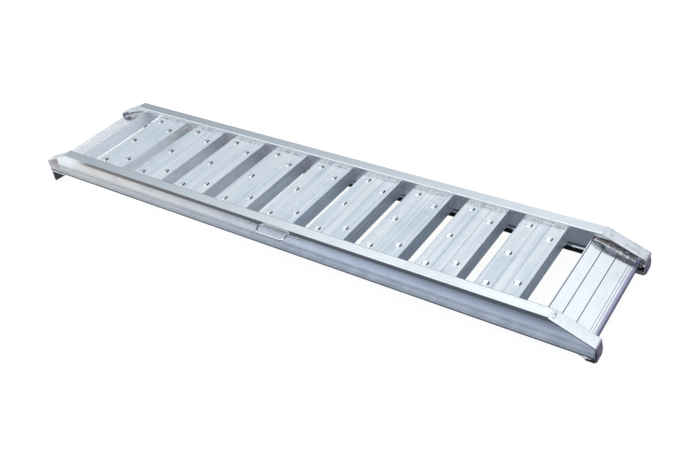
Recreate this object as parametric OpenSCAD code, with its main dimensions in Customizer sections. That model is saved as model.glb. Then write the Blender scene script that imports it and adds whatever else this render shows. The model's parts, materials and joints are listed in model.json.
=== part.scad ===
// Aluminium loading ramp: two bent-nose I-section side rails, nine dimpled rungs,
// two sloping end planks, tray hooks, ground pads and one swinging carry handle.
// Lengths are in millimetres and angles in degrees. X runs from the tray end to the
// ground end, Y across the track and Z up. The geometry is laid out in a deck frame
// whose origin is under the middle rung, on the track's centreline and level with the
// rails' underside. placed() moves it to the bottom centre of the whole ramp.

/* [Side rails] */
// Overall width across both rails
track_w = 450; // [350:5:600]
// Height of a rail
rail_h = 98; // [92:1:130]
// Width of a rail's flanges
flange_w = 41; // [36:1:60]
// Thickness of a rail's flanges
flange_t = 6; // [4:0.5:7]
// Thickness of a rail's web
web_t = 5; // [3:0.5:7]
// Radius of the fillets between web and flanges
fillet_r = 9; // [6:0.5:10]
// Thickness of the top flange's turned-down edges
edge_t = 4; // [3:0.5:5]
// Gap between those edges and the rungs' raised lips
edge_gap = 0.5; // [0.3:0.1:2]

/* [Noses] */
// Distance from an end plank's upper edge to the bend of the rails
bend_shift = 29.5; // [20:0.5:40]
// Distance the tray end's noses stand out beyond the plank
tray_reach = 0; // [0:0.5:20]
// Distance the ground end's noses stand out beyond the plank
ground_reach = 20; // [10:0.5:40]
// Slope of the tray end's noses
tray_slope = 24.3; // [16:0.1:25]
// Slope of the ground end's noses
ground_slope = 21; // [14:0.5:23]
// Thickness of the flange strip over a nose
cap_t = 4; // [3:0.5:5]
// Width by which a ground nose's strip stands out past the rail's outer edge
cap_overhang = 4; // [0:0.5:6]
// Outer bend radius at a nose's tip
nose_r = 10; // [8:0.5:14]
// Thickness of the gusset that slants across a tray nose's outer side
gusset_t = 4; // [3:0.5:6]
// Distance from the tip to where that gusset meets the web
gusset_l = 38.5; // [32:0.5:60]

/* [Rungs] */
// Distance from one rung to the next
rung_pitch = 200; // [185:1:215]
// Width of a rung along the ramp
rung_w = 157; // [154:1:165]
// Height of a rung
rung_h = 60; // [45:1:62]
// Depth of the rungs' top below the rails' top
rung_drop = 17.5; // [16:0.5:19]
// Thickness of the tread plates
plate_t = 4; // [3:0.25:5]
// Thickness of the side walls and toes
wall_t = 3.5; // [2.5:0.25:5]
// Width of the toe at the foot of a side wall
toe_w = 12; // [8:1:20]
// Width of the raised lip along a rung's edge toward the tray
tray_lip_w = 11; // [8:0.5:13]
// Width of the raised lip along a rung's edge toward the ground
ground_lip_w = 14; // [10:0.5:15]
// Height of the lips above the plate
lip_h = 1.5; // [1:0.25:2]
// Width of a tread groove
groove_w = 2.5; // [1.5:0.25:3]
// Depth of a tread groove
groove_d = 1.5; // [1:0.1:2]
// Distance from a rung's tray edge to its first groove
groove_1 = 16; // [15:0.5:18]
// Distance from a rung's tray edge to its second groove
groove_2 = 71; // [62:0.5:76]
// Distance from a rung's tray edge to its third groove
groove_3 = 108; // [98:0.5:110]

/* [Dimples] */
// Radius of a dimple at its foot
dimple_r = 12; // [9:0.5:12]
// Radius of a dimple's flat top
dimple_top_r = 8; // [5:0.5:8.5]
// Height of a dimple above the plate
dimple_h = 3; // [2:0.25:3.5]
// Distance from a rung's tray edge to its row of three dimples
row_3_x = 45; // [38:0.5:50]
// Distance from a rung's tray edge to its row of two dimples
row_2_x = 127; // [124:0.5:129]
// Spacing of the three dimples
row_3_gap = 153.5; // [100:0.5:160]
// Spacing of the two dimples
row_2_gap = 228; // [100:1:300]

/* [End planks] */
// Gap along the ramp between an end plank and the rung beside it
end_gap = 80; // [60:1:90]
// Slope of the end planks
plank_slope = 18; // [15:0.5:19]
// Depth of a plank's upper edge below the rungs' top
plank_drop = 7.5; // [5:0.5:9]
// Length of a plank's flat top down its slope
plank_l = 148; // [144:0.5:152]
// Height of the wall under a plank's upper edge
plank_wall_h = 44; // [30:1:46]
// Outer radius of the round nosing at a plank's lower edge
nosing_r = 12; // [10:0.5:13]
// Distance from a plank's upper edge to its first groove, and on to its second
plank_band = 44.5; // [38:0.5:48]
// Distance from the middle of the twin grooves to the start of the nosing
twin_in = 13; // [10:0.5:18]
// Distance between the twin grooves
twin_gap = 5; // [4:0.5:8]
// Gap between a plank's notched corners and the folded ends of the noses
notch_gap = 0.5; // [0.3:0.1:1]

/* [Tray hooks] */
// Thickness of a hook's bent plate
hook_t = 6; // [4:0.5:8]
// Length of a hook's plate along the ramp
hook_l = 77; // [60:1:100]
// Depth of a hook's lip below the rails
hook_drop = 51; // [35:1:65]
// Thickness of the rubber wedge at its thin end
wedge_toe = 2; // [1:0.5:6]

/* [Ground pads] */
// Length of a pad along the ramp
pad_l = 37; // [30:1:60]
// Thickness of a pad
pad_t = 15; // [8:1:20]
// Length of the bevel at a pad's inner end
pad_bevel = 13; // [2:1:16]
// Distance from a nose's tip to the end of the pad's flat underside
pad_inset = 4; // [1:0.5:10]
// Thickness of the pad's heel on the nose's upright end
heel_t = 4; // [2:0.5:6]
// Height of the heel's upper end
heel_z = 34; // [24:1:35]

/* [Carry handle] */
// Diameter of the handle's rod
rod_d = 8; // [6:0.5:9]
// Place of the handle's middle along the ramp
handle_x = 26.5; // [-60:0.5:60]
// Reach of the bail from its pivot to the middle of the grip
bail_reach = 35; // [28:1:45]
// Half width of the bail at its pivot
bail_half_w = 62.5; // [58:0.5:90]
// Sideways lean of the leg toward the tray
tray_lean = 16; // [4:1:20]
// Sideways lean of the leg toward the ground
ground_lean = 1; // [0:1:20]
// Lift of the bail above level as it rests
rest_lift = 3; // [0:1:20]
// Radius at the centre of the rod's bends
rod_bend_r = 12; // [9:0.5:13]
// Length of each turned-out foot from the leg to the rod's end
foot_l = 58; // [44:1:70]
// Distance from the rod's end to the middle of its saddle
saddle_inset = 16.5; // [10:0.5:18]
// Gap between the rod and the web
rod_gap = 2; // [1:0.25:4]
// Gap between the saddles and the rail's upper fillet
saddle_gap = 2.2; // [0.2:0.1:10]
// Width of a saddle along the rail
saddle_w = 16; // [12:0.5:20]
// Thickness of a saddle's strap
saddle_t = 2; // [1.5:0.25:3]
// Height of a saddle's riveted tabs
tab_h = 8.5; // [7.5:0.5:12]
// Diameter of a rivet's shank
rivet_d = 3.2; // [2.4:0.2:4.8]
// Diameter of a rivet's head
rivet_head_d = 6; // [5.6:0.2:7]
// Height of a rivet's head
rivet_head_h = 1.6; // [1:0.1:2.5]

/* [Clearances] */
// Clearance all round the handle's rod in its saddles
pivot_clear = 0.3; // [0.2:0.05:0.5]
// Clearance all round a rivet's shank
rivet_clear = 0.1; // [0.05:0.05:0.2]

/* [Hidden] */

$fn = 48;
aluminium = [0.80, 0.81, 0.84];
ground_aluminium = [0.74, 0.74, 0.76];
zinc_plate = [0.70, 0.71, 0.72];
black_rubber = [0.10, 0.10, 0.11];

// Overlap that carries a cut clean through a face
over = 1;
// Small lift that keeps a groove's mouth open
skin = 0.01;
// Angle by which a bend of the rod laps into its straight pieces
bend_lap = 2;
// Depth by which the rod's bends are set in from its straight pieces
bend_set = 0.05;
// Signs of the two sides and the two ends
near = -1;
far = 1;
tray = -1;
ground = 1;

rung_n = 9;
rung_top = rail_h - rung_drop;
edge_z = rung_top + lip_h + edge_gap;
web_mid = (track_w - flange_w) / 2;
web_inner = web_mid - web_t / 2;
web_outer = web_mid + web_t / 2;
groove_4 = rung_w - ground_lip_w - groove_w / 2;

// Each end is laid out as the ground end; the tray end is its mirror image
plank_x = (rung_n - 1) / 2 * rung_pitch + rung_w / 2 + end_gap;
plank_z = rung_top - plank_drop;
plank_front = plank_x + plank_l * cos(plank_slope) + nosing_r * (1 - sin(plank_slope));
plank_floor = flange_t + fillet_r;
bend_x = plank_x + bend_shift;

// The handle's pivot, on the outer side of the near rail
saddle_bore = rod_d / 2 + pivot_clear;
saddle_r = saddle_bore + saddle_t;
pivot_off = rod_d / 2 + rod_gap;
pivot_y = -(web_outer + pivot_off);
pivot_z = rail_h - flange_t - fillet_r - saddle_gap - tab_h - saddle_r;
saddle_x = bail_half_w + foot_l - saddle_inset;
bail_out = -pivot_y + bail_reach * cos(rest_lift) + rod_d / 2;

// Middle and base of the whole ramp
box_mid_x = (nose_tip(ground) + heel_t - nose_tip(tray)) / 2;
box_mid_y = (track_w / 2 + cap_overhang - bail_out) / 2;
box_base_z = -hook_drop;

// Distance from the middle rung to a nose's tip
function nose_tip(end) = plank_front + (end == tray ? tray_reach : ground_reach);

function slope_of(end) = end == tray ? tray_slope : ground_slope;

// Height of a nose's sloping top
function slope_z(x, end) = rail_h - (x - bend_x) * tan(slope_of(end));

// Corner of the rail's top line at the bend, set in along the mitre
function mitre(inset, end) = [bend_x - inset * tan(slope_of(end) / 2), rail_h - inset];

// The bail's leg on one side: its lean, its turn from the foot, the length that a bend
// takes from each straight piece, and the end of the straight grip
function lean(end) = end == tray ? tray_lean : ground_lean;
function bail_turn(end) = atan2(bail_reach, lean(end));
function bail_tangent(end) = rod_bend_r * tan(bail_turn(end) / 2);
function grip_x(end) = bail_half_w - lean(end) - bail_tangent(end);

module placed() {
    translate([-box_mid_x, -box_mid_y, -box_base_z]) children();
}

// Turns a side view (X, Z) of the ground end into that of the chosen end
module at_end(end) {
    if (end == tray) mirror([1, 0]) children();
    else children();
}

// Extrudes a side view (X, Z) across the track to a width, centred on y
module across(y, width) {
    translate([0, y + width / 2, 0]) rotate([90, 0, 0]) linear_extrude(width) children();
}

// Extrudes a cross-section (Y, Z) along the ramp to a length, from x
module along(x, length) {
    translate([x, 0, 0]) rotate([90, 0, 90]) linear_extrude(length) children();
}

// Side view of a rail's end half, its top and tip set in from the outside
module end_half(end, inset) {
    tip = nose_tip(end);
    slope = slope_of(end);
    corner_x = tip - nose_r;
    corner_z = slope_z(corner_x, end) - nose_r / cos(slope);
    reach = nose_r - inset;
    translate([corner_x, corner_z]) circle(reach);
    polygon([
        [0, 0], [tip - inset, 0], [tip - inset, corner_z], [corner_x, corner_z],
        [corner_x + reach * sin(slope), corner_z + reach * cos(slope)],
        mitre(inset, end), [0, rail_h - inset]
    ]);
}

// Side view of everything beyond the mitre at a rail's bend
module beyond_bend(end) {
    tip = nose_tip(end);
    polygon([
        mitre(0, end), mitre(cap_t, end), [bend_x, -over], [tip + over, -over],
        [tip + over, rail_h + over], [bend_x, rail_h + over]
    ]);
}

// One open side of the I-section, with its two fillets
module rail_recess() {
    low = flange_t + fillet_r;
    high = rail_h - flange_t - fillet_r;
    translate([web_t / 2, low]) square([flange_w, high - low]);
    translate([web_t / 2 + fillet_r, flange_t]) square([flange_w, rail_h - 2 * flange_t]);
    for (z = [low, high]) translate([web_t / 2 + fillet_r, z]) circle(fillet_r);
}

module rail_section() {
    difference() {
        translate([-flange_w / 2, 0]) square([flange_w, rail_h]);
        rail_recess();
        mirror([1, 0]) rail_recess();
    }
    for (y = [-flange_w / 2, flange_w / 2 - edge_t])
        translate([y, edge_z]) square([edge_t, rail_h - edge_z]);
}

module side_rail(side) {
    color(aluminium) placed() difference() {
        along(-nose_tip(tray), nose_tip(tray) + nose_tip(ground))
            translate([side * web_mid, 0]) rail_section();
        for (end = [tray, ground])
            across(side * web_mid, flange_w + 2 * over) at_end(end) difference() {
                beyond_bend(end);
                end_half(end, cap_t);
            }
        if (side == near) rivet_places() rivet_hole();
    }
}

// Flange strip bent down over a nose and folded at its tip into an upright end
module nose_cap(side, end) {
    overhang = end == ground ? cap_overhang : 0;
    color(ground_aluminium) placed()
        across(side * (web_mid + overhang / 2), flange_w + overhang) at_end(end) difference() {
            intersection() {
                end_half(end, 0);
                beyond_bend(end);
            }
            end_half(end, cap_t);
        }
}

// Upright plate that slants from a tray nose's outer corner back to the web
module nose_gusset(side) {
    heel = nose_tip(tray) - cap_t;
    foot = nose_tip(tray) - gusset_l;
    slant = atan2(track_w / 2 - web_outer, heel - foot);
    color(ground_aluminium) placed() intersection() {
        mirror([1, 0, 0]) linear_extrude(rail_h) polygon([
            [foot, side * web_outer], [heel, side * track_w / 2],
            [heel, side * (track_w / 2 - gusset_t / cos(slant))],
            [foot + gusset_t / sin(slant), side * web_outer]
        ]);
        along(-heel, gusset_l) translate([side * web_mid, 0]) scale([side, 1]) rail_recess();
        across(side * web_mid, flange_w) at_end(tray) end_half(tray, cap_t);
    }
}

// Tread groove in a plate whose top is at height 0
module groove(x, width) {
    polygon([[x - width / 2, skin], [x, -groove_d], [x + width / 2, skin]]);
}

// Side view of a rung from its tray edge, its plate's top at height 0
module rung_section() {
    difference() {
        union() {
            translate([0, -plate_t]) square([rung_w, plate_t]);
            translate([0, -plate_t]) square([tray_lip_w, plate_t + lip_h]);
            translate([rung_w - ground_lip_w, -plate_t]) square([ground_lip_w, plate_t + lip_h]);
            for (x = [0, rung_w - wall_t]) translate([x, -rung_h]) square([wall_t, rung_h]);
            for (x = [0, rung_w - toe_w]) translate([x, -rung_h]) square([toe_w, wall_t]);
            for (x = [groove_2, groove_3])
                translate([x - wall_t / 2, -plate_t - wall_t]) square([wall_t, plate_t + wall_t]);
        }
        for (x = [groove_1, groove_2, groove_3, groove_4]) groove(x, groove_w);
    }
}

module dimple_places() {
    for (y = [-row_3_gap, 0, row_3_gap]) translate([row_3_x, y, 0]) children();
    for (y = [-row_2_gap / 2, row_2_gap / 2]) translate([row_2_x, y, 0]) children();
}

module rung(number) {
    edge_x = (number - (rung_n + 1) / 2) * rung_pitch - rung_w / 2;
    hollow_h = plate_t + dimple_h / 2;
    color(aluminium) placed() translate([edge_x, 0, rung_top]) difference() {
        union() {
            across(0, 2 * web_inner) rung_section();
            dimple_places() cylinder(h = dimple_h, r1 = dimple_r, r2 = dimple_top_r);
        }
        dimple_places() translate([0, 0, -plate_t - skin])
            cylinder(h = hollow_h, r1 = dimple_r - plate_t / 2, r2 = dimple_top_r - plate_t / 2);
    }
}

// Side view of an end plank down its slope from its upper edge, its top at height 0
module plank_section() {
    twin = plank_l - twin_in;
    difference() {
        union() {
            translate([0, -plate_t]) square([plank_l, plate_t]);
            translate([0, -plank_wall_h]) square([wall_t, plank_wall_h + lip_h]);
            translate([0, -plank_wall_h]) square([toe_w, wall_t]);
            intersection() {
                difference() {
                    translate([plank_l, -nosing_r]) circle(nosing_r);
                    translate([plank_l, -nosing_r]) circle(nosing_r - plate_t);
                }
                translate([plank_l, -2 * nosing_r]) square([nosing_r, 2 * nosing_r]);
            }
        }
        for (x = [plank_band, 2 * plank_band]) groove(x, groove_w);
        for (x = [twin - twin_gap / 2, twin + twin_gap / 2]) groove(x, groove_w / 2);
    }
}

module end_plank(end) {
    tip = nose_tip(end);
    color(aluminium) placed() difference() {
        across(0, 2 * web_inner) at_end(end) intersection() {
            translate([plank_x, plank_z]) rotate(-plank_slope) plank_section();
            translate([0, plank_floor]) square([tip + nosing_r, rail_h]);
        }
        for (side = [near, far])
            across(side * web_mid, flange_w + 2 * notch_gap) at_end(end)
                translate([tip - cap_t - notch_gap, 0]) square([nosing_r + cap_t, rail_h]);
    }
}

// Bent plate under a tray nose, with a lip that catches the edge of the tray
module tray_hook(side) {
    tip = nose_tip(tray);
    color(ground_aluminium) placed() across(side * web_mid, flange_w) at_end(tray) {
        translate([tip - hook_l, -hook_t]) square([hook_l, hook_t]);
        translate([tip - hook_t, -hook_drop]) square([hook_t, hook_drop]);
    }
}

// Rubber wedge in the angle of a tray hook
module hook_wedge(side) {
    heel = nose_tip(tray) - hook_t;
    toe = nose_tip(tray) - hook_l;
    color(black_rubber) placed() across(side * web_mid, flange_w) at_end(tray) polygon([
        [heel, -hook_t], [heel, -hook_drop], [toe, -hook_t - wedge_toe], [toe, -hook_t]
    ]);
}

// Rubber pad under a ground nose, bevelled at its inner end, with a heel up the nose's end
module ground_pad(side) {
    tip = nose_tip(ground);
    outer = tip - pad_inset;
    color(black_rubber) placed() across(side * web_mid, flange_w) at_end(ground) polygon([
        [tip, 0], [outer - pad_l, 0], [outer - pad_l + pad_bevel, -pad_t], [outer, -pad_t],
        [tip + heel_t, -pad_t / 2], [tip + heel_t, heel_z / 2], [tip, heel_z]
    ]);
}

// Straight piece of the handle's rod between two points of its plane
module rod(from, to) {
    run = to - from;
    translate(from) rotate([0, 90, atan2(run.y, run.x)]) cylinder(h = norm(run), d = rod_d);
}

// Bend of the handle's rod about a centre, from a start angle through a turn
module rod_bend(centre, start, turn) {
    translate(centre) rotate(start - bend_lap) rotate_extrude(angle = turn + 2 * bend_lap)
        translate([rod_bend_r, 0]) circle(d = rod_d - 2 * bend_set);
}

// One foot and leg of the bail, level, with its pivot along X and its grip toward -Y
module bail_side(end) {
    turn = bail_turn(end);
    tangent = bail_tangent(end);
    leg = [-cos(turn), -sin(turn)];
    knee = [bail_half_w, 0];
    rod([bail_half_w + foot_l, 0], [bail_half_w + tangent, 0]);
    rod_bend([bail_half_w + tangent, -rod_bend_r], 90, turn);
    rod(knee + tangent * leg, [bail_half_w - lean(end), -bail_reach] - tangent * leg);
    rod_bend([grip_x(end), rod_bend_r - bail_reach], -90, turn);
}

module carry_handle() {
    color(zinc_plate) placed() translate([handle_x, pivot_y, pivot_z]) rotate([-rest_lift, 0, 0]) {
        bail_side(ground);
        mirror([1, 0, 0]) bail_side(tray);
        rod([-grip_x(tray), -bail_reach], [grip_x(ground), -bail_reach]);
    }
}

// Cross-section of a saddle about the handle's pivot
module saddle_section() {
    tab_top = saddle_r + tab_h;
    difference() {
        union() {
            circle(saddle_r);
            translate([0, -saddle_r]) square([pivot_off, 2 * saddle_r]);
            translate([pivot_off - saddle_t, -tab_top]) square([saddle_t, 2 * tab_top]);
        }
        circle(saddle_bore);
        translate([0, -saddle_bore]) square([pivot_off + over, 2 * saddle_bore]);
    }
}

module saddle(end) {
    color(zinc_plate) placed() difference() {
        along(handle_x + end * saddle_x - saddle_w / 2, saddle_w)
            translate([pivot_y, pivot_z]) saddle_section();
        rivet_places() rivet_hole();
    }
}

// Places of the rivets on the near web's outer face
module rivet_places() {
    for (end = [tray, ground])
        for (step = [-1, 1])
            translate([handle_x + end * saddle_x, -web_outer, pivot_z + step * (saddle_r + tab_h / 2)])
                rotate([-90, 0, 0]) children();
}

module rivet_hole() {
    translate([0, 0, -saddle_t - over])
        cylinder(h = saddle_t + web_t + 2 * over, d = rivet_d + 2 * rivet_clear);
}

module rivet() {
    translate([0, 0, -saddle_t]) cylinder(h = saddle_t + web_t, d = rivet_d);
    translate([0, 0, -saddle_t - rivet_head_h])
        cylinder(h = rivet_head_h, d1 = rivet_head_d / 2, d2 = rivet_head_d);
}

module near_side_rail() { side_rail(near); }
module far_side_rail() { side_rail(far); }
module near_tray_nose_cap() { nose_cap(near, tray); }
module far_tray_nose_cap() { nose_cap(far, tray); }
module near_ground_nose_cap() { nose_cap(near, ground); }
module far_ground_nose_cap() { nose_cap(far, ground); }
module near_nose_gusset() { nose_gusset(near); }
module far_nose_gusset() { nose_gusset(far); }
module rung_1() { rung(1); }
module rung_2() { rung(2); }
module rung_3() { rung(3); }
module rung_4() { rung(4); }
module rung_5() { rung(5); }
module rung_6() { rung(6); }
module rung_7() { rung(7); }
module rung_8() { rung(8); }
module rung_9() { rung(9); }
module tray_end_plank() { end_plank(tray); }
module ground_end_plank() { end_plank(ground); }
module near_tray_hook() { tray_hook(near); }
module far_tray_hook() { tray_hook(far); }
module near_hook_wedge() { hook_wedge(near); }
module far_hook_wedge() { hook_wedge(far); }
module near_ground_pad() { ground_pad(near); }
module far_ground_pad() { ground_pad(far); }
module tray_side_saddle() { saddle(tray); }
module ground_side_saddle() { saddle(ground); }
module saddle_rivets() { color(zinc_plate) placed() rivet_places() rivet(); }

near_side_rail();
far_side_rail();
near_tray_nose_cap();
far_tray_nose_cap();
near_ground_nose_cap();
far_ground_nose_cap();
near_nose_gusset();
far_nose_gusset();
rung_1();
rung_2();
rung_3();
rung_4();
rung_5();
rung_6();
rung_7();
rung_8();
rung_9();
tray_end_plank();
ground_end_plank();
near_tray_hook();
far_tray_hook();
near_hook_wedge();
far_hook_wedge();
near_ground_pad();
far_ground_pad();
carry_handle();
tray_side_saddle();
ground_side_saddle();
saddle_rivets();
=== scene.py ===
"""Looks of the aluminium loading ramp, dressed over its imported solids.

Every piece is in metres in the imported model's frame: X along the ramp from the tray end
to the ground end, Y from the near rail to the far rail, Z up. The classes hold their
sizes in millimetres of the deck frame, which deck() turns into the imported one.
"""

import json
import logging
import math
from dataclasses import dataclass, field
from enum import Enum
from typing import Callable, Sequence

import bpy
from mathutils import Matrix, Vector, noise

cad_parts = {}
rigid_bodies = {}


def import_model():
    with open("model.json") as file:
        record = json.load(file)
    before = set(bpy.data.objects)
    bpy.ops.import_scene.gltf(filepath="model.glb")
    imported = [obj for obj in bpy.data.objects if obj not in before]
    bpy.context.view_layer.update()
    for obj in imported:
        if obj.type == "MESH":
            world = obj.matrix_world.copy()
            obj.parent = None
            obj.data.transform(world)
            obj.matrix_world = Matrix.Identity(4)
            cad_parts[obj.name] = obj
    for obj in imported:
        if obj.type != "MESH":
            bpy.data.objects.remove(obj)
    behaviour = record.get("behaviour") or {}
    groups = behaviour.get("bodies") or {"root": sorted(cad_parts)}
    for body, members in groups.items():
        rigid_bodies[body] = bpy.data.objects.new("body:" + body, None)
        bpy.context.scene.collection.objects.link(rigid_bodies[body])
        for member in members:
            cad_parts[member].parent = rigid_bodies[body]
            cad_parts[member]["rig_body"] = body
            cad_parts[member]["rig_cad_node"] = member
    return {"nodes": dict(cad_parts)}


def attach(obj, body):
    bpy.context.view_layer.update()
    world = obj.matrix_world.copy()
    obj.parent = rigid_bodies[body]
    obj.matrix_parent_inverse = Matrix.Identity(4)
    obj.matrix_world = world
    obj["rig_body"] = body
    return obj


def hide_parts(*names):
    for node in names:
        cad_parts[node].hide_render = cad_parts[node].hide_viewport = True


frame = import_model()

MM = 0.001
LOG = logging.getLogger("ramp")
ROOT = "ramp"

# Where the source's deck frame has its origin: under the middle rung, on the track's
# centreline, level with the rails' underside.
DECK = Vector((-12.0, 11.476, 51.0)) * MM


class Side(Enum):
    """The two sides of the track, by the sign of Y."""

    NEAR = -1
    FAR = 1


class End(Enum):
    """The two ends of the ramp, by the sign of X."""

    TRAY = -1
    GROUND = 1


class Grain(Enum):
    """The direction in which a profile was drawn through its die."""

    ALONG = 0
    ACROSS = 1


def srgb(code: str) -> tuple[float, float, float, float]:
    """Turns an sRGB hex colour into the linear colour that shaders take.

    Args:
        code: six hex digits after a hash sign.

    Returns:
        Linear red, green and blue, and an alpha of 1.
    """
    parts = [int(code[i:i + 2], 16) / 255 for i in (1, 3, 5)]
    linear = [p / 12.92 if p <= 0.04045 else ((p + 0.055) / 1.055) ** 2.4 for p in parts]
    return (linear[0], linear[1], linear[2], 1.0)


def deck(x: float, y: float, z: float) -> Vector:
    """Places a point given in the deck frame.

    Args:
        x: millimetres from the middle rung toward the ground end.
        y: millimetres from the centreline toward the far rail.
        z: millimetres above the rails' underside.

    Returns:
        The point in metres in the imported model's frame.
    """
    return Vector((x, y, z)) * MM + DECK


def add_node(
    tree: bpy.types.NodeTree,
    kind: str,
    settings: dict | None = None,
    links: dict | None = None,
) -> bpy.types.Node:
    """Adds a node, sets its properties and socket values, and links its inputs.

    Args:
        tree: the node tree that gets the node.
        kind: the node's type name.
        settings: property or input name (or input number) to value.
        links: input name or number to the output socket that feeds it.

    Returns:
        The new node.
    """
    node = tree.nodes.new(kind)
    for key, value in (settings or {}).items():
        if isinstance(key, str) and hasattr(node, key):
            setattr(node, key, value)
        else:
            node.inputs[key].default_value = value
    for key, output in (links or {}).items():
        tree.links.new(output, node.inputs[key])
    return node


@dataclass(frozen=True)
class Fade:
    """A number or sRGB colour that gives way to another while some value climbs."""

    start: float = 0.0
    end: float = 1.0
    before: float | str = 0.0
    after: float | str = 1.0

    def lay(
        self,
        tree: bpy.types.NodeTree,
        value: bpy.types.NodeSocket,
        before: bpy.types.NodeSocket | None = None,
        after: bpy.types.NodeSocket | None = None,
    ) -> bpy.types.NodeSocket:
        """Lays the fade into a node tree.

        Args:
            tree: the node tree.
            value: what climbs from start to end.
            before: a socket that stands in for the first number or colour.
            after: a socket that stands in for the second.

        Returns:
            The faded number or colour.
        """
        share = value
        if (self.start, self.end) != (0.0, 1.0):
            share = add_node(
                tree, "ShaderNodeMapRange", {"From Min": self.start, "From Max": self.end},
                {"Value": value},
            ).outputs[0]
        colours = isinstance(self.before, str) or isinstance(self.after, str)
        first = 6 if colours else 2
        settings: dict = {"data_type": "RGBA" if colours else "FLOAT"}
        links = {0: share}
        for key, plain, socket in ((first, self.before, before), (first + 1, self.after, after)):
            if socket is None:
                settings[key] = srgb(plain) if colours else plain
            else:
                links[key] = socket
        return add_node(tree, "ShaderNodeMix", settings, links).outputs[2 if colours else 0]


class Finish:
    """What all finishes share: a name, and a surface that each describes in nodes."""

    name: str

    def surface(
        self, tree: bpy.types.NodeTree, coords: bpy.types.NodeSocket
    ) -> bpy.types.NodeSocket:
        """Describes the surface in nodes.

        Args:
            tree: the material's node tree.
            coords: the place on the ramp, in metres.

        Returns:
            The shader's output socket.
        """
        raise NotImplementedError

    def build(self) -> bpy.types.Material:
        """Builds the material.

        Returns:
            The material.
        """
        material = bpy.data.materials.new(self.name)
        material.use_nodes = True
        tree = material.node_tree
        tree.nodes.clear()
        coords = add_node(tree, "ShaderNodeTexCoord").outputs["Object"]
        add_node(tree, "ShaderNodeOutputMaterial", {}, {"Surface": self.surface(tree, coords)})
        return material


@dataclass(frozen=True)
class DrawnAluminium(Finish):
    """Mill-finish extruded aluminium: satin, with die lines along its length that show as
    fine streaks, and faint handling smudges that dull it in patches."""

    name: str
    grain: Grain
    colour: str = "#F6F8F9"
    dulled: str = "#E2E5EA"
    roughness: float = 0.21
    smoother: float = 0.03
    rougher: float = 0.10
    line_mm: float = 2.2  # coarser than real die lines, so that they show
    line_length_mm: float = 700.0
    line_depth_mm: float = 0.05
    lines_seen: tuple[float, float] = (0.34, 0.68)
    line_share: float = 0.5
    smudge_mm: float = 90.0
    smudges_seen: tuple[float, float] = (0.46, 0.72)
    smudge_share: float = 0.35

    def drawn_marks(
        self,
        tree: bpy.types.NodeTree,
        coords: bpy.types.NodeSocket,
        width_mm: float,
        detail: float,
        rough: float,
    ) -> bpy.types.NodeSocket:
        """Gives a pattern of marks that run along the grain.

        Args:
            tree: the material's node tree.
            coords: the place on the ramp.
            width_mm: the marks' width.
            detail: how many finer layers the pattern has.
            rough: how strong the finer layers are.

        Returns:
            The pattern, around 0.5.
        """
        across, along = 1000 / width_mm, 1000 / self.line_length_mm
        scale = (along, across, across) if self.grain is Grain.ALONG else (across, along, across)
        drawn = add_node(tree, "ShaderNodeMapping", {"Scale": scale}, {"Vector": coords})
        return add_node(
            tree, "ShaderNodeTexNoise", {"Scale": 1.0, "Detail": detail, "Roughness": rough},
            {"Vector": drawn.outputs["Vector"]},
        ).outputs[0]

    def wear(
        self,
        tree: bpy.types.NodeTree,
        coords: bpy.types.NodeSocket,
        lines: bpy.types.NodeSocket,
    ) -> bpy.types.NodeSocket:
        """Gives how much streaks and smudges dull the metal.

        Args:
            tree: the material's node tree.
            coords: the place on the ramp.
            lines: the die lines' pattern.

        Returns:
            The dulling, 0 for none.
        """
        smudges = add_node(
            tree, "ShaderNodeTexNoise",
            {"Scale": 1000 / self.smudge_mm, "Detail": 5.0, "Roughness": 0.62, "Distortion": 0.6},
            {"Vector": coords},
        ).outputs[0]
        return add_node(
            tree, "ShaderNodeMath", {"operation": "ADD"},
            {0: Fade(*self.lines_seen, 0.0, self.line_share).lay(tree, lines),
             1: Fade(*self.smudges_seen, 0.0, self.smudge_share).lay(tree, smudges)},
        ).outputs[0]

    def stained(
        self,
        tree: bpy.types.NodeTree,
        coords: bpy.types.NodeSocket,
        colour: bpy.types.NodeSocket,
        rough: bpy.types.NodeSocket,
    ) -> tuple[bpy.types.NodeSocket, bpy.types.NodeSocket]:
        """Leaves colour and roughness as they are, as only the treads are stained."""
        return colour, rough

    def surface(
        self, tree: bpy.types.NodeTree, coords: bpy.types.NodeSocket
    ) -> bpy.types.NodeSocket:
        """Describes the surface in nodes.

        Args:
            tree: the material's node tree.
            coords: the place on the ramp, in metres.

        Returns:
            The shader's output socket.
        """
        lines = self.drawn_marks(tree, coords, self.line_mm, 2.5, 0.65)
        worn = self.wear(tree, coords, lines)
        smooth, dull = self.roughness - self.smoother, self.roughness + self.rougher
        colour, rough = self.stained(
            tree, coords, Fade(before=self.colour, after=self.dulled).lay(tree, worn),
            Fade(before=smooth, after=dull).lay(tree, worn),
        )
        bump = add_node(
            tree, "ShaderNodeBump", {"Strength": 0.12, "Distance": self.line_depth_mm * MM},
            {"Height": lines},
        )
        return add_node(
            tree, "ShaderNodeBsdfPrincipled", {"Metallic": 1.0},
            {"Base Color": colour, "Roughness": rough, "Normal": bump.outputs["Normal"]},
        ).outputs[0]


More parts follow.
